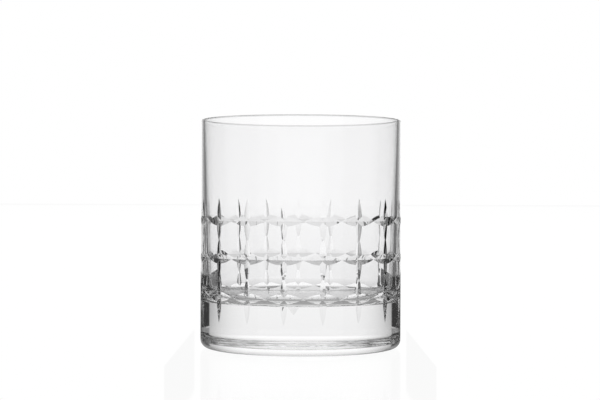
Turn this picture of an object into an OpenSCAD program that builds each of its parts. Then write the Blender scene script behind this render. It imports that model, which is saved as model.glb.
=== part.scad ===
// Cut-crystal whiskey tumbler.
// One piece of clear glass: a straight-sided blank with a heavy base, and three
// rings of leaf cuts ground into its side with V-edged wheels. Each cut flower is
// one upright leaf crossed by one level leaf.
// Origin: centre of the base, on the table. +Z is up, and the strip of plain glass
// between two columns of flowers faces -Y.

/* [Glass] */
// Overall height
height = 97.6; // [90:0.2:110]
// Outside diameter of the straight wall
outer_d = 86; // [82:0.5:90]
// Thickness of the lip
lip_t = 1.5; // [1.3:0.1:2]
// Thickness of the wall where it meets the rounded corner of the bowl
foot_wall_t = 3.4; // [3.2:0.1:5]
// Thickness of the solid base under the bowl
base_t = 19.5; // [16:0.5:24]
// Radius of the corner between bowl floor and wall
bowl_corner_r = 8; // [5:0.5:12]
// Radius of the rounded heel under the wall
heel_r = 3.5; // [3:0.5:6]

/* [Punt] */
// Radius of the shallow hollow ground in the middle of the underside
punt_r = 10.3; // [6:0.1:14]
// Depth of that hollow
punt_depth = 0.9; // [0.5:0.1:1.5]
// How far its side slopes inwards
punt_slope = 1.2; // [0.5:0.1:2]

/* [Leaf cuts] */
// Flowers around the glass
columns = 17; // [14:1:17]
// Number of rings of flowers
rings = 3; // [1:1:3]
// Height of the lowest ring
first_ring_z = 23.3; // [22:0.1:26]
// Distance from one ring to the next
ring_pitch = 15.6; // [15:0.1:17]
// Slope of each side of the wheel's V edge, from the surface of the glass
cut_slope = 26; // [24:1:34]
// Half the length of an upright leaf
upright_half_l = 9.3; // [8.5:0.1:9.8]
// Widest point of an upright leaf
upright_w = 3.3; // [2.8:0.1:4]
// How much further down the uprights of the lowest ring reach
lowest_extra_l = 1.6; // [0:0.1:2]
// Angle round the glass from the middle of a level leaf to its tip
level_half_angle = 10.4; // [10:0.1:10.5]
// Widest point of a level leaf
level_w = 4.1; // [3.8:0.1:4.6]

/* [Hidden] */
outer_r = outer_d / 2;
lip_r = lip_t / 2;
lip_z = height - lip_r;

// The inside wall is a straight taper from the lip to the round corner of the bowl.
corner_x = outer_r - foot_wall_t - bowl_corner_r;
corner_z = base_t + bowl_corner_r;

// The V edge has one slope, so a wider leaf is a deeper one.
function cut_depth(w) = w / 2 * tan(cut_slope);

// An upright leaf is a wheel's cut in the straight side, as long as the wheel's chord.
upright_depth = cut_depth(upright_w);
function chord_wheel_r(half_l) = (half_l ^ 2 + upright_depth ^ 2) / (2 * upright_depth);

// A level leaf is a wheel's cut in the round side, and ends where the two circles cross.
groove_r = outer_r - cut_depth(level_w);
tip_x = outer_r * cos(level_half_angle);
level_half_l = outer_r * sin(level_half_angle);
level_wheel_r = (outer_r ^ 2 + groove_r ^ 2 - 2 * groove_r * tip_x) / (2 * (tip_x - groove_r));

// The V edge is deeper than the cut, so that its back is clear of the glass.
edge_scale = 3;

// Half section of the solid blank, from the axis outwards, up to the round of the lip.
module blank_outline() {
    square([outer_r - heel_r, lip_z]);
    translate([0, heel_r])
        square([outer_r, lip_z - heel_r]);
    translate([outer_r - heel_r, heel_r])
        circle(heel_r, $fn = 72);
}

// Half section of the space inside. The corner is a whole disc that overlaps the
// polygon, so that no shared edge is left between them.
module bowl_outline() {
    polygon([
        [0, base_t],
        [corner_x, base_t],
        [corner_x + bowl_corner_r, corner_z],
        [outer_r - lip_t, lip_z],
        [outer_r - lip_t, height],
        [0, height]
    ]);
    translate([corner_x, corner_z])
        circle(bowl_corner_r, $fn = 96);
}

module punt_outline() {
    polygon([
        [0, -1],
        [punt_r, -1],
        [punt_r, 0],
        [punt_r - punt_slope, punt_depth],
        [0, punt_depth]
    ]);
}

module lip_outline() {
    translate([outer_r - lip_r, lip_z])
        circle(lip_r, $fn = 24);
}

module blank() {
    rotate_extrude($fn = 128) {
        difference() {
            blank_outline();
            bowl_outline();
            punt_outline();
        }
        lip_outline();
    }
}

// Stretch of a V-edged grinding wheel's rim, with its axis on Z and its deepest
// point on +Y. It leaves a leaf of width w that reaches half_l each way.
module wheel_rim(r, w, half_l, fn) {
    half_w = w / 2 * edge_scale;
    edge_depth = cut_depth(w) * edge_scale;
    arc = 2 * asin(1.25 * half_l / r);
    rotate([0, 0, 90 - arc / 2])
        rotate_extrude(angle = arc, $fn = fn)
            polygon([
                [r - edge_depth, -half_w],
                [r, 0],
                [r - edge_depth, half_w]
            ]);
}

// The lowest uprights are longer by half of the extra length each way and sit lower by
// the other half, so that only their lower tips move.
module upright_leaf(ring) {
    shift = ring == 0 ? lowest_extra_l / 2 : 0;
    half_l = upright_half_l + shift;
    wheel_r = chord_wheel_r(half_l);
    translate([0, upright_depth - outer_r - wheel_r, -shift])
        rotate([0, 90, 0])
            wheel_rim(wheel_r, upright_w, half_l, 180);
}

module level_leaf() {
    translate([0, -groove_r - level_wheel_r, 0])
        wheel_rim(level_wheel_r, level_w, level_half_l, 720);
}

// Neighbouring level leaves almost touch, so they are ground in three goes.
all_columns = [0 : columns - 1];
even_columns = [0 : 2 : columns - 2];
odd_columns = [1 : 2 : columns - 1];
left_over = columns % 2 == 1 ? [columns - 1] : [];

// Repeats a cut at the picked columns of every ring of flowers.
module at_flowers(picked) {
    column_step = 360 / columns;
    for (ring = [0 : rings - 1])
        for (column = picked)
            translate([0, 0, first_ring_z + ring * ring_pitch])
                rotate([0, 0, (column + 0.5) * column_step]) {
                    $ring = ring;
                    children();
                }
}

module tumbler_glass() {
    color([0.93, 0.95, 0.96, 0.35])
        difference() {
            difference() {
                difference() {
                    difference() {
                        blank();
                        at_flowers(all_columns)
                            upright_leaf($ring);
                    }
                    at_flowers(even_columns)
                        level_leaf();
                }
                at_flowers(odd_columns)
                    level_leaf();
            }
            at_flowers(left_over)
                level_leaf();
        }
}

tumbler_glass();
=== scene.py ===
import math
import bmesh
import bpy
from mathutils import Matrix, Vector

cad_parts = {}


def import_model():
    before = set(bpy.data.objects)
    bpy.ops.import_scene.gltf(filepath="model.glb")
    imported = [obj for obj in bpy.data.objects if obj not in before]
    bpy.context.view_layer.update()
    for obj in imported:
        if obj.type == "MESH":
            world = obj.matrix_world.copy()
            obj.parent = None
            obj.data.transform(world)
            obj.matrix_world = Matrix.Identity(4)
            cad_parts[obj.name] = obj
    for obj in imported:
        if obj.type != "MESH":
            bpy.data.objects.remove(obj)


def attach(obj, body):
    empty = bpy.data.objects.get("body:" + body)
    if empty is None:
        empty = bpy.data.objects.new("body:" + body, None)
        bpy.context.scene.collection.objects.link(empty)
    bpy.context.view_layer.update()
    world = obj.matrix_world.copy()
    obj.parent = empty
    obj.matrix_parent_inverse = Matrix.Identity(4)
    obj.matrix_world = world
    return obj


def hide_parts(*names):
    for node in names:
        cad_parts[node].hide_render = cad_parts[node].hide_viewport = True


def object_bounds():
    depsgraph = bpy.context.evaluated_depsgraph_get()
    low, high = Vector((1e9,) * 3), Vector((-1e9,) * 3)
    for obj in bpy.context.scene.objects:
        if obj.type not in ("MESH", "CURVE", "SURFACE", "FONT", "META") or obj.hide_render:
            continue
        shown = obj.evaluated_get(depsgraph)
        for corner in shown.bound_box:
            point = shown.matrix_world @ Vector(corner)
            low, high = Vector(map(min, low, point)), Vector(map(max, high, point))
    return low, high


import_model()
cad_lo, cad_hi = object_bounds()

MM = 0.001

# Glass, in metres. Radius and height come from the frame.
OUTER_R = (cad_hi.x - cad_lo.x) / 2
HEIGHT = cad_hi.z
LIP_R = 0.75 * MM
FOOT_WALL_T = 3.4 * MM
BASE_T = 19.5 * MM
BOWL_CORNER_R = 8 * MM
HEEL_R = 3.5 * MM
PUNT_R = 10.3 * MM
PUNT_DEPTH = 0.9 * MM
PUNT_SLOPE = 1.2 * MM

# Centres of the rounded lip, heel and bowl corner in the half section
LIP = (OUTER_R - LIP_R, HEIGHT - LIP_R)
HEEL = (OUTER_R - HEEL_R, HEEL_R)
CORNER = (OUTER_R - FOOT_WALL_T - BOWL_CORNER_R, BASE_T + BOWL_CORNER_R)

# Leaf cuts. The wheel's edge has the same slope in every cut.
COLUMNS = 17
RINGS = 3
FIRST_RING_Z = 23.3 * MM
RING_PITCH = 15.6 * MM
CUT_SLOPE = math.radians(26)
UPRIGHT_HALF_L = 9.3 * MM
LOWEST_EXTRA_L = 1.6 * MM
UPRIGHT_W = 3.3 * MM
LEVEL_HALF_ANGLE = math.radians(10.4)
LEVEL_W = 4.1 * MM

# Steps of the turned and cut surfaces
LATHE_STEPS = 384
ROUND_STEPS = 18
CORNER_STEPS = 24
WHEEL_STEPS = 28
WHEEL_REACH = 1.25       # how far past a leaf's tips the wheel's rim goes, as a factor
EDGE_SCALE = 3           # how far past a leaf's sides the wheel's edge goes, as a factor

# Normals
SHARP_ANGLE = math.radians(13)
EXACT_ANGLE = math.radians(6)
CLOSE = 0.01 * MM

# Surface of the crystal: haze and etch are roughness, waves and stipple are heights
GLASS_TINT = (0.99, 0.99, 0.993, 1)
GLASS_IOR = 1.53
HAZE = 0.012
HAZE_SCALE = 90
ETCH_ROUGH = 0.22
WAVES = 0.004 * MM
WAVES_SCALE = 60
STIPPLE = 0.03 * MM
STIPPLE_SCALE = 2600

# Camera
CAM_TURN = math.radians(-1.5)
CAM_DISTANCE = 0.611
CAM_HEIGHT = 0.0632
CAM_ROLL = math.radians(0.185)
CAM_YAW = math.radians(0.034)
CAM_LENS = 85
CAM_SENSOR = 36
CAM_CLIP = (0.1, 60)

# Room, floor, and the lit sheets just under it
ROOM = 0.34
FLOOR_HALF = 20
FLOOR_ROUGH = 0.06
FLOOR_MIRROR = 0.05
FLOOR_Z = -0.0002
UNDER_Z = -0.0003
TOP_Z = -0.0004

# Sweep behind the glass. Its brightness falls from SIDE_FROM to its sides, and near the table.
SWEEP_R = 15
SWEEP_HALF = math.radians(66)
SWEEP_SOFT = math.radians(6)
SWEEP_FOOT = math.radians(-2)
SWEEP_TOP = math.radians(80)
SWEEP_STRENGTH = 1.08
SWEEP_STEPS = (64, 32)
SIDE_FROM = math.radians(20)
SIDE_DROP = 0.4
UP_DROP_AT = 0.4
UP_DROP = 0.8

# Lit table behind the glass. It starts TOP_START from the axis, and further out off the middle
# line, so that the unlit ring round the glass is a painted shadow of the glass on the table
TOP_HALF = math.radians(70)
TOP_SOFT = math.radians(12)
TOP_START = 0.048
TOP_START_GROWTH = 0.16
TOP_STRENGTH = 0.75
TOP_IOR = 2.2
TOP_STEPS = 64

# Dark cards beside the glass: whole up to SOLID, gone at END
FLAG_X = 0.052
FLAG_FRONT = -0.07
FLAG_STEP = 0.03
FLAG_TOP = 0.1
HIGH_FLAG_SOLID = 0
HIGH_FLAG_END = 0.04
HIGH_FLAG_GREY = 0.14
LOW_FLAG_SOLID = 0.082
LOW_FLAG_END = 0.087
LOW_FLAG_GREY = 0.04

# Round lights above and below
DISC_STEPS = 64
LID_Z = 1.2
LID_R = 1.7
LID_STRENGTH = 1
UNDER_R = 0.027
UNDER_STRENGTH = 0.6


# Shape

def arc(centre, radius, start, end, steps):
    """Points of an arc in the half section, from start to end in degrees."""
    angles = [math.radians(start + (end - start) * i / steps) for i in range(steps + 1)]
    return [(centre[0] + radius * math.cos(a), centre[1] + radius * math.sin(a)) for a in angles]


def blank_outline():
    """Half section of the uncut glass as (radius, height) points, from the axis under the
    base, up the outside, over the lip and down the bowl to the axis again."""
    return (
        [(0, PUNT_DEPTH), (PUNT_R - PUNT_SLOPE, PUNT_DEPTH), (PUNT_R, 0)]
        + arc(HEEL, HEEL_R, -90, 0, ROUND_STEPS)
        + arc(LIP, LIP_R, 0, 180, ROUND_STEPS)
        + arc(CORNER, BOWL_CORNER_R, 0, -90, CORNER_STEPS)
        + [(0, BASE_T)]
    )


def new_object(name, bm):
    mesh = bpy.data.meshes.new(name)
    bmesh.ops.recalc_face_normals(bm, faces=bm.faces)
    bm.to_mesh(mesh)
    bm.free()
    obj = bpy.data.objects.new(name, mesh)
    bpy.context.scene.collection.objects.link(obj)
    return obj


def lathe(name, outline, steps):
    """Turns an open outline, which starts and ends on the axis, into a closed solid."""
    bm = bmesh.new()
    ends = [bm.verts.new((0, 0, outline[0][1])), bm.verts.new((0, 0, outline[-1][1]))]
    turns = [2 * math.pi * i / steps for i in range(steps)]
    rows = [
        [bm.verts.new((r * math.cos(t), r * math.sin(t), z)) for t in turns]
        for r, z in outline[1:-1]
    ]
    for i in range(steps):
        j = (i + 1) % steps
        bm.faces.new((ends[0], rows[0][j], rows[0][i]))
        bm.faces.new((ends[1], rows[-1][i], rows[-1][j]))
        for low, high in zip(rows, rows[1:]):
            bm.faces.new((low[i], low[j], high[j], high[i]))
    return new_object(name, bm)


def cut_depth(width):
    return width / 2 * math.tan(CUT_SLOPE)


def wheel_rim(bm, radius, width, half_length, place):
    """Adds a stretch of a V-edged wheel's rim: its axis on Z, its deepest point on +Y."""
    depth = EDGE_SCALE * cut_depth(width)
    half_w = width / 2 * EDGE_SCALE
    reach = math.asin(WHEEL_REACH * half_length / radius)
    section = [(radius - depth, -half_w), (radius, 0), (radius - depth, half_w)]
    rows = []
    for i in range(WHEEL_STEPS + 1):
        t = math.pi / 2 + reach * (2 * i / WHEEL_STEPS - 1)
        rows.append([
            bm.verts.new(place @ Vector((r * math.cos(t), r * math.sin(t), z)))
            for r, z in section
        ])
    for a, b in zip(rows, rows[1:]):
        for k in range(3):
            n = (k + 1) % 3
            bm.faces.new((a[k], a[n], b[n], b[k]))
    bm.faces.new(rows[0])
    bm.faces.new(list(reversed(rows[-1])))


def flower_place(ring, column):
    """Where an upright and a level leaf cross."""
    turn = Matrix.Rotation((column + 0.5) * 2 * math.pi / COLUMNS, 4, "Z")
    return Matrix.Translation((0, 0, FIRST_RING_Z + ring * RING_PITCH)) @ turn


def upright_cuts(ring):
    """The upright leaves of one ring. Those of the lowest ring run a little further down."""
    bm = bmesh.new()
    shift = LOWEST_EXTRA_L / 2 if ring == 0 else 0
    half_l = UPRIGHT_HALF_L + shift
    depth = cut_depth(UPRIGHT_W)
    wheel_r = (half_l**2 + depth**2) / (2 * depth)
    stand = Matrix.Rotation(math.pi / 2, 4, "Y")
    local = Matrix.Translation((0, depth - OUTER_R - wheel_r, -shift)) @ stand
    for column in range(COLUMNS):
        wheel_rim(bm, wheel_r, UPRIGHT_W, half_l, flower_place(ring, column) @ local)
    return new_object("upright_cuts", bm)


def level_cuts(columns):
    """The level leaves of these columns in every ring. The wheel's rim passes through both
    tips, which lie on the outside, and through the leaf's deepest point."""
    bm = bmesh.new()
    groove_r = OUTER_R - cut_depth(LEVEL_W)
    tip_x = OUTER_R * math.cos(LEVEL_HALF_ANGLE)
    half_l = OUTER_R * math.sin(LEVEL_HALF_ANGLE)
    wheel_r = (OUTER_R**2 + groove_r**2 - 2 * groove_r * tip_x) / (2 * (tip_x - groove_r))
    local = Matrix.Translation((0, -groove_r - wheel_r, 0))
    for ring in range(RINGS):
        for column in columns:
            wheel_rim(bm, wheel_r, LEVEL_W, half_l, flower_place(ring, column) @ local)
    return new_object("level_cuts", bm)


def cut_away(body, tool):
    mod = body.modifiers.new("cut", "BOOLEAN")
    mod.operation = "DIFFERENCE"
    mod.solver = "MANIFOLD"
    mod.object = tool
    depsgraph = bpy.context.evaluated_depsgraph_get()
    mesh = bpy.data.meshes.new_from_object(body.evaluated_get(depsgraph))
    body.modifiers.clear()
    old = body.data
    body.data = mesh
    bpy.data.meshes.remove(old)
    bpy.data.objects.remove(tool)


def outline_normal(r, z):
    """Direction of the turned surface at a point of the half section, as (radial, up)."""
    if z > LIP[1]:
        return r - LIP[0], z - LIP[1]
    if r > HEEL[0] and z < HEEL[1]:
        return r - HEEL[0], z - HEEL[1]
    if r > OUTER_R - CLOSE:
        return 1, 0
    if z > CORNER[1]:
        return -(LIP[1] - CORNER[1]), FOOT_WALL_T - 2 * LIP_R
    if r > CORNER[0] and z > BASE_T - CLOSE:
        return CORNER[0] - r, CORNER[1] - z
    return None


def true_normals(mesh):
    """Gives the turned surfaces their exact normals, so that the walls bend light evenly."""
    normals = [Vector(n.vector) for n in mesh.corner_normals]
    for face in mesh.polygons:
        for loop in face.loop_indices:
            x, y, z = mesh.vertices[mesh.loops[loop].vertex_index].co
            r = math.hypot(x, y)
            found = outline_normal(r, z)
            if not found or r == 0:
                continue
            exact = Vector((found[0] * x / r, found[0] * y / r, found[1])).normalized()
            if exact.dot(face.normal) > math.cos(EXACT_ANGLE):
                normals[loop] = exact
    mesh.normals_split_custom_set(normals)


# Nodes

def feed(links, value, socket):
    """Gives a socket its value, which is a number or another node's output."""
    if isinstance(value, (int, float)):
        socket.default_value = value
    else:
        links.new(value, socket)


def math_node(nodes, links, operation, a, b):
    """A Math node. Each of a and b is a socket or a number."""
    node = nodes.new("ShaderNodeMath")
    node.operation = operation
    feed(links, a, node.inputs[0])
    feed(links, b, node.inputs[1])
    return node.outputs[0]


def noise(nodes, links, coords, scale, detail):
    node = nodes.new("ShaderNodeTexNoise")
    node.inputs["Scale"].default_value = scale
    node.inputs["Detail"].default_value = detail
    links.new(coords, node.inputs["Vector"])
    return node.outputs[0]


def object_coords(nodes):
    return nodes.new("ShaderNodeTexCoord").outputs["Object"]


def object_xyz(nodes, links):
    sep = nodes.new("ShaderNodeSeparateXYZ")
    links.new(object_coords(nodes), sep.inputs[0])
    return sep.outputs


def fade(nodes, links, source, start, end, high, low=0):
    """A smooth value that is low where source is at start and high where it is at end."""
    ramp = nodes.new("ShaderNodeMapRange")
    ramp.interpolation_type = "SMOOTHSTEP"
    ramp.inputs["From Min"].default_value = start
    ramp.inputs["From Max"].default_value = end
    ramp.inputs["To Min"].default_value = low
    ramp.inputs["To Max"].default_value = high
    links.new(source, ramp.inputs["Value"])
    return ramp.outputs["Result"]


def shader_tree(owner):
    owner.use_nodes = True
    tree = owner.node_tree
    tree.nodes.clear()
    return tree.nodes, tree.links


def mix_shaders(nodes, links, share, first, second):
    """Two shaders mixed. The share of the second is a socket or a number."""
    mix = nodes.new("ShaderNodeMixShader")
    feed(links, share, mix.inputs[0])
    links.new(first, mix.inputs[1])
    links.new(second, mix.inputs[2])
    return mix.outputs[0]


def glow(nodes, links, strength):
    """White light. Its strength is a socket or a number."""
    light = nodes.new("ShaderNodeEmission")
    light.inputs["Color"].default_value = (1, 1, 1, 1)
    feed(links, strength, light.inputs["Strength"])
    return light.outputs[0]


def mirror(nodes, rough):
    gloss = nodes.new("ShaderNodeBsdfGlossy")
    gloss.inputs["Color"].default_value = (1, 1, 1, 1)
    gloss.inputs["Roughness"].default_value = rough
    return gloss.outputs[0]


def surface(nodes, links, shader, kind="ShaderNodeOutputMaterial"):
    links.new(shader, nodes.new(kind).inputs["Surface"])


# Crystal

def punt_patch(nodes, links):
    """1 on the sides and roof of the punt, 0 on the rest of the glass."""
    x, y, z = object_xyz(nodes, links)
    x2 = math_node(nodes, links, "MULTIPLY", x, x)
    y2 = math_node(nodes, links, "MULTIPLY", y, y)
    r2 = math_node(nodes, links, "ADD", x2, y2)
    near = math_node(nodes, links, "LESS_THAN", r2, PUNT_R**2)
    low = math_node(nodes, links, "LESS_THAN", z, 2 * PUNT_DEPTH)
    return math_node(nodes, links, "MULTIPLY", near, low)


def crystal():
    """Clear crystal: polished, with a trace of waviness and handling haze, and a punt that
    is etched to a fine stipple."""
    mat = bpy.data.materials.new("clear_crystal")
    mat.use_nodes = True
    nodes, links = mat.node_tree.nodes, mat.node_tree.links
    shader = nodes["Principled BSDF"]
    shader.inputs["Base Color"].default_value = GLASS_TINT
    shader.inputs["Transmission Weight"].default_value = 1
    shader.inputs["IOR"].default_value = GLASS_IOR
    coords = object_coords(nodes)
    patch = punt_patch(nodes, links)

    haze = noise(nodes, links, coords, HAZE_SCALE, 3)
    haze = math_node(nodes, links, "MULTIPLY", haze, HAZE)
    etched = math_node(nodes, links, "MULTIPLY", patch, ETCH_ROUGH)
    links.new(math_node(nodes, links, "ADD", haze, etched), shader.inputs["Roughness"])

    waves = noise(nodes, links, coords, WAVES_SCALE, 1)
    waves = math_node(nodes, links, "MULTIPLY", waves, WAVES)
    stipple = noise(nodes, links, coords, STIPPLE_SCALE, 2)
    stipple = math_node(nodes, links, "MULTIPLY", stipple, STIPPLE)
    stipple = math_node(nodes, links, "MULTIPLY", stipple, patch)
    bump = nodes.new("ShaderNodeBump")
    bump.inputs["Strength"].default_value = 1
    bump.inputs["Distance"].default_value = 1
    links.new(math_node(nodes, links, "ADD", waves, stipple), bump.inputs["Height"])
    links.new(bump.outputs["Normal"], shader.inputs["Normal"])
    return mat


def tumbler():
    """The glass. Its level leaves are cut in groups of columns that don't touch."""
    body = lathe("cut_crystal_tumbler", blank_outline(), LATHE_STEPS)
    for ring in range(RINGS):
        cut_away(body, upright_cuts(ring))
    last = COLUMNS - 1
    for columns in (range(0, last, 2), range(1, COLUMNS, 2), [last]):
        cut_away(body, level_cuts(columns))
    mesh = body.data
    mesh.shade_smooth()
    mesh.set_sharp_from_angle(angle=SHARP_ANGLE)
    true_normals(mesh)
    mesh.materials.clear()
    mesh.materials.append(crystal())
    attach(body, "root")
    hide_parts("tumbler_glass")


# Camera and studio

def camera():
    data = bpy.data.cameras.new("camera")
    data.lens = CAM_LENS
    data.sensor_width = CAM_SENSOR
    data.clip_start, data.clip_end = CAM_CLIP
    obj = bpy.data.objects.new("camera", data)
    bpy.context.scene.collection.objects.link(obj)
    obj.matrix_world = (
        Matrix.Rotation(CAM_TURN, 4, "Z")
        @ Matrix.Translation((0, -CAM_DISTANCE, CAM_HEIGHT))
        @ Matrix.Rotation(CAM_YAW, 4, "Z")
        @ Matrix.Rotation(math.pi / 2, 4, "X")
        @ Matrix.Rotation(CAM_ROLL, 4, "Z")
    )
    bpy.context.scene.camera = obj


def background(nodes, value):
    node = nodes.new("ShaderNodeBackground")
    node.inputs["Color"].default_value = (value, value, value, 1)
    return node.outputs[0]


def world():
    """White to the camera, a grey room to everything else."""
    studio_world = bpy.data.worlds.new("studio")
    bpy.context.scene.world = studio_world
    nodes, links = shader_tree(studio_world)
    seen = nodes.new("ShaderNodeLightPath").outputs["Is Camera Ray"]
    shader = mix_shaders(nodes, links, seen, background(nodes, ROOM), background(nodes, 1))
    surface(nodes, links, shader, "ShaderNodeOutputWorld")


def floor():
    """White acrylic, as the camera sees it: bright, with a faint reflection."""
    bm = bmesh.new()
    corners = ((-1, -1), (1, -1), (1, 1), (-1, 1))
    bm.faces.new([bm.verts.new((x * FLOOR_HALF, y * FLOOR_HALF, 0)) for x, y in corners])
    obj = new_object("floor", bm)
    mat = bpy.data.materials.new("floor")
    nodes, links = shader_tree(mat)
    white = glow(nodes, links, 1)
    shader = mix_shaders(nodes, links, FLOOR_MIRROR, white, mirror(nodes, FLOOR_ROUGH))
    surface(nodes, links, shader)
    obj.data.materials.append(mat)
    obj.location.z = FLOOR_Z
    obj.visible_diffuse = False
    obj.visible_glossy = False
    obj.visible_transmission = False


def rig_centre():
    """An empty on the tumbler's axis that carries the studio, which faces the photograph's view
    and stands still."""
    empty = bpy.data.objects.new("rig_centre", None)
    bpy.context.scene.collection.objects.link(empty)
    empty.rotation_euler.z = CAM_TURN
    return empty


def rig_part(name, bm, mat, centre):
    obj = new_object(name, bm)
    obj.data.materials.append(mat)
    obj.parent = centre
    obj.visible_camera = False
    return obj


def bridge(bm, rows):
    """Faces between neighbouring rows of vertices."""
    for a, b in zip(rows, rows[1:]):
        for j in range(len(a) - 1):
            bm.faces.new((a[j], a[j + 1], b[j + 1], b[j]))


def side_light(nodes, links, half, soft, strength):
    """Brightness by how far a point lies off the studio's middle line: full there, less
    towards the sides, and none past half."""
    x, y, _ = object_xyz(nodes, links)
    angle = math_node(nodes, links, "ARCTAN2", x, y)
    side = math_node(nodes, links, "ABSOLUTE", angle, 0)
    edge = fade(nodes, links, side, half, half - soft, strength)
    fall = fade(nodes, links, side, SIDE_FROM, SWEEP_HALF, SIDE_DROP, 1)
    return math_node(nodes, links, "MULTIPLY", edge, fall)


def sweep(centre):
    """White sweep behind the tumbler, curved about it and fading to its sides."""
    bm = bmesh.new()
    across, up = SWEEP_STEPS
    rows = []
    for i in range(across + 1):
        a = SWEEP_HALF * (2 * i / across - 1)
        row = []
        for j in range(up + 1):
            e = SWEEP_FOOT + (SWEEP_TOP - SWEEP_FOOT) * j / up
            flat = SWEEP_R * math.cos(e)
            place = (flat * math.sin(a), flat * math.cos(a), SWEEP_R * math.sin(e))
            row.append(bm.verts.new(place))
        rows.append(row)
    bridge(bm, rows)
    mat = bpy.data.materials.new("sweep")
    nodes, links = shader_tree(mat)
    height = object_xyz(nodes, links)[2]
    strength = side_light(nodes, links, SWEEP_HALF, SWEEP_SOFT, SWEEP_STRENGTH)
    rise = fade(nodes, links, height, 0, SWEEP_R * UP_DROP_AT, UP_DROP, 1)
    strength = math_node(nodes, links, "MULTIPLY", strength, rise)
    surface(nodes, links, glow(nodes, links, strength))
    rig_part("sweep", bm, mat, centre)


def table_top(centre):
    """The lit part of the table behind the glass. Seen steeply it is a soft grey, and seen
    along its surface it mirrors the sweep."""
    bm = bmesh.new()
    rows = []
    for i in range(TOP_STEPS + 1):
        a = TOP_HALF * (2 * i / TOP_STEPS - 1)
        # inner edge of the lit table: inside it lies the painted shadow of the glass, wider
        # towards the sides
        start = TOP_START + TOP_START_GROWTH * max(0, abs(a) - SIDE_FROM)
        rows.append([
            bm.verts.new((r * math.sin(a), r * math.cos(a), 0)) for r in (SWEEP_R, start)
        ])
    bridge(bm, rows)
    mat = bpy.data.materials.new("table_top")
    nodes, links = shader_tree(mat)
    bend = nodes.new("ShaderNodeFresnel")
    bend.inputs["IOR"].default_value = TOP_IOR
    lit = glow(nodes, links, side_light(nodes, links, TOP_HALF, TOP_SOFT, TOP_STRENGTH))
    surface(nodes, links, mix_shaders(nodes, links, bend.outputs[0], lit, mirror(nodes, 0)))
    rig_part("table_top", bm, mat, centre).location.z = TOP_Z


def flags(name, centre, low, high, solid, end, grey):
    """Dark cards just beside the tumbler, which draw its edges. They thin out towards the
    back."""
    mat = bpy.data.materials.new(name)
    nodes, links = shader_tree(mat)
    thin = fade(nodes, links, object_xyz(nodes, links)[1], solid, end, 1)
    clear = nodes.new("ShaderNodeBsdfTransparent").outputs[0]
    surface(nodes, links, mix_shaders(nodes, links, thin, glow(nodes, links, grey), clear))
    for x in (-FLAG_X, FLAG_X):
        bm = bmesh.new()
        corners = ((FLAG_FRONT, low), (end, low), (end, high), (FLAG_FRONT, high))
        bm.faces.new([bm.verts.new((x, y, z)) for y, z in corners])
        rig_part(name, bm, mat, centre)


def disc_light(name, centre, radius, height, strength):
    bm = bmesh.new()
    bmesh.ops.create_circle(bm, cap_ends=True, radius=radius, segments=DISC_STEPS)
    mat = bpy.data.materials.new(name)
    nodes, links = shader_tree(mat)
    surface(nodes, links, glow(nodes, links, strength))
    rig_part(name, bm, mat, centre).location.z = height


def studio():
    world()
    floor()
    centre = rig_centre()
    sweep(centre)
    table_top(centre)
    flags("high_flag", centre, FLAG_STEP, FLAG_TOP, HIGH_FLAG_SOLID, HIGH_FLAG_END, HIGH_FLAG_GREY)
    flags("low_flag", centre, 0, FLAG_STEP, LOW_FLAG_SOLID, LOW_FLAG_END, LOW_FLAG_GREY)
    disc_light("lid", centre, LID_R, LID_Z, LID_STRENGTH)
    disc_light("under_light", centre, UNDER_R, UNDER_Z, UNDER_STRENGTH)


tumbler()
camera()
studio()
bpy.context.scene.view_settings.view_transform = "Standard"
bpy.context.scene.cycles.max_bounces = 24
bpy.context.scene.cycles.transmission_bounces = 24
bpy.context.scene.cycles.glossy_bounces = 12
